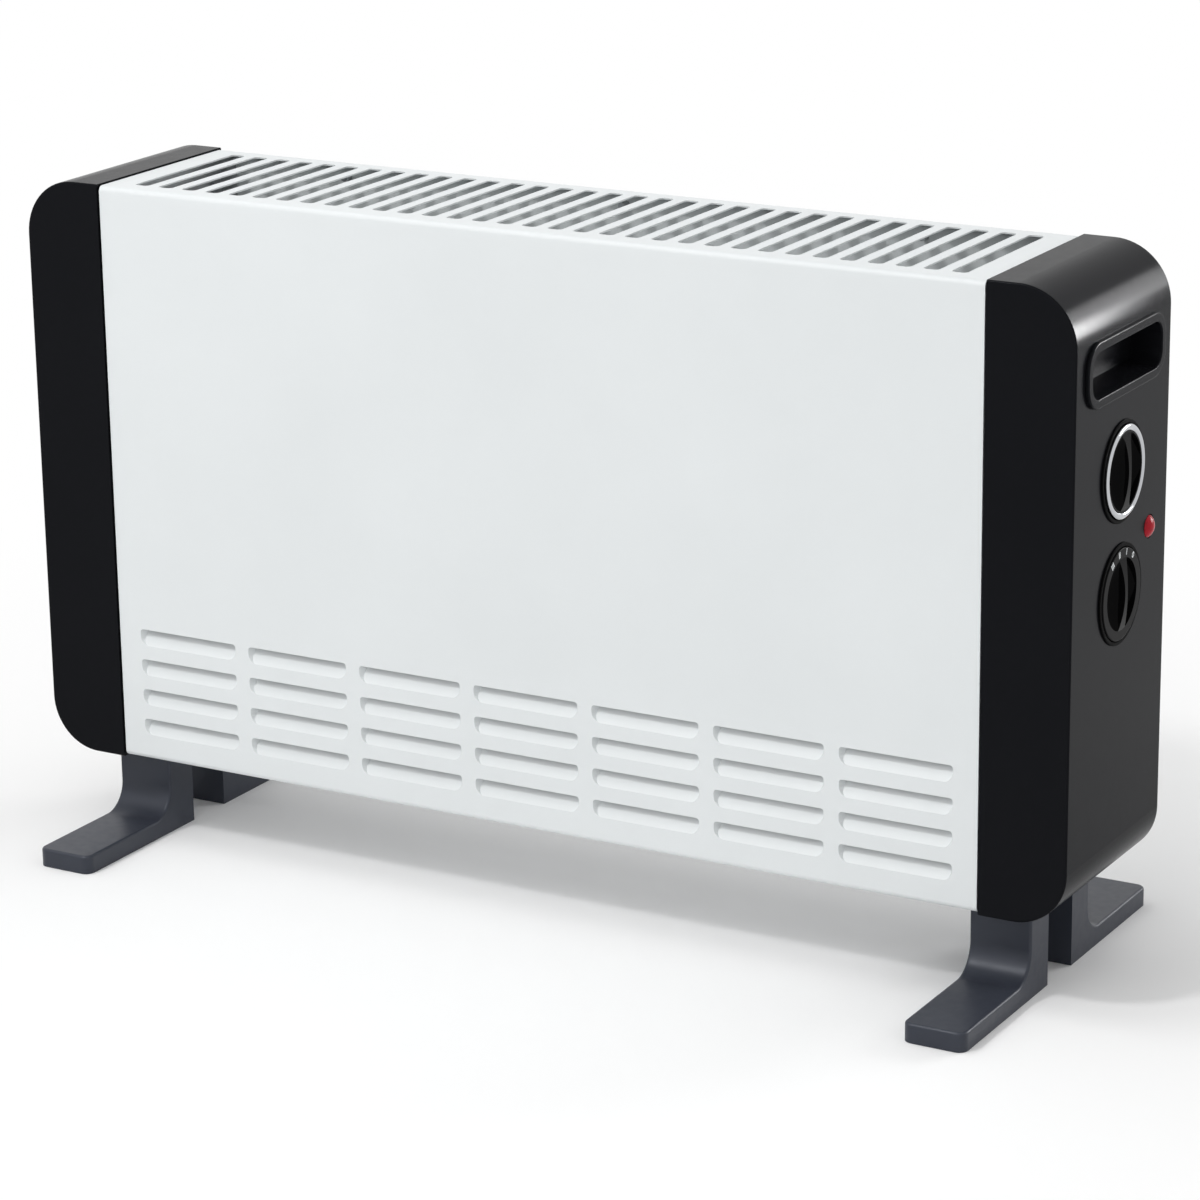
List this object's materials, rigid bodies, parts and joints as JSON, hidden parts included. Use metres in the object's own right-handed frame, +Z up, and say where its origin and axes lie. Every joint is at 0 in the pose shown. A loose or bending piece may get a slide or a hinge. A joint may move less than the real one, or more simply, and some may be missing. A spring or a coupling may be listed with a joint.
{
  "type": "convector heater",
  "caption": "Free-standing electric convector heater: louvred white steel casing, slotted top, dark end caps with handle recesses, side thermostat and selector knobs, L-shaped feet.",
  "frame": {"origin": "middle of the heater at floor level, under its feet", "axes": "+X along the heater to the end with the controls, +Y to the rear, +Z up"},
  "size_m": [0.6063, 0.224, 0.363],
  "materials": {
    "white_paint": "satin white powder coat",
    "galvanised": "bare galvanised sheet",
    "dark_plastic": "fine matt dark grey moulding",
    "foot_plastic": "satin blue-grey moulding",
    "gloss_black": "gloss black moulding",
    "matt_black": "matt black moulding",
    "bright_trim": "bright plated ring",
    "red_lens": "clear red moulding",
    "switch_plastic": "heat-resisting moulding",
    "element_aluminium": "extruded, dull",
    "rod_steel": "sheath tube",
    "steatite": "unglazed ceramic",
    "zinc_screw": "zinc plated",
    "black_rubber": "soft black bush"
  },
  "bodies": {
    "casing": {"front_panel": "white_paint", "rear_panel": "white_paint", "base_plate": "galvanised", "left_bulkhead": "galvanised", "right_bulkhead": "galvanised", "left_end_cap": "dark_plastic", "right_end_cap": "dark_plastic", "left_handle_cup": "dark_plastic", "right_handle_cup": "dark_plastic", "foot_front_left": "foot_plastic", "foot_front_right": "foot_plastic", "foot_rear_left": "foot_plastic", "foot_rear_right": "foot_plastic", "foot_screws": "zinc_screw", "cap_screws": "zinc_screw", "rear_panel_screws": "zinc_screw", "thermostat_bezel": "matt_black", "thermostat_body": "switch_plastic", "selector_bezel": "matt_black", "selector_body": "switch_plastic", "control_plate": "galvanised", "control_screws": "zinc_screw", "control_plate_screws": "zinc_screw", "pilot_lamp_lens": "red_lens", "pilot_lamp_holder": "switch_plastic", "front_element": "element_aluminium", "rear_element": "element_aluminium", "front_element_rod": "rod_steel", "rear_element_rod": "rod_steel", "element_bushes": "steatite", "cutout_bracket": "galvanised", "thermal_cutout": "switch_plastic", "terminal_block": "switch_plastic", "cord_inlet_bush": "black_rubber"},
    "thermostat_dial": {"thermostat_knob": "gloss_black", "thermostat_trim_ring": "bright_trim", "thermostat_spindle": "rod_steel"},
    "selector_dial": {"selector_knob": "gloss_black", "selector_spindle": "rod_steel"}
  },
  "joints": [
    {"name": "thermostat_turn", "type": "hinge", "parent": "casing", "child": "thermostat_dial", "pos_m": [0.3, 0, 0.263], "axis": [1, 0, 0], "range_deg": [-135, 135]},
    {"name": "selector_turn", "type": "hinge", "parent": "casing", "child": "selector_dial", "pos_m": [0.3, 0, 0.202], "axis": [1, 0, 0], "range_deg": [-35, 37]}
  ]
}
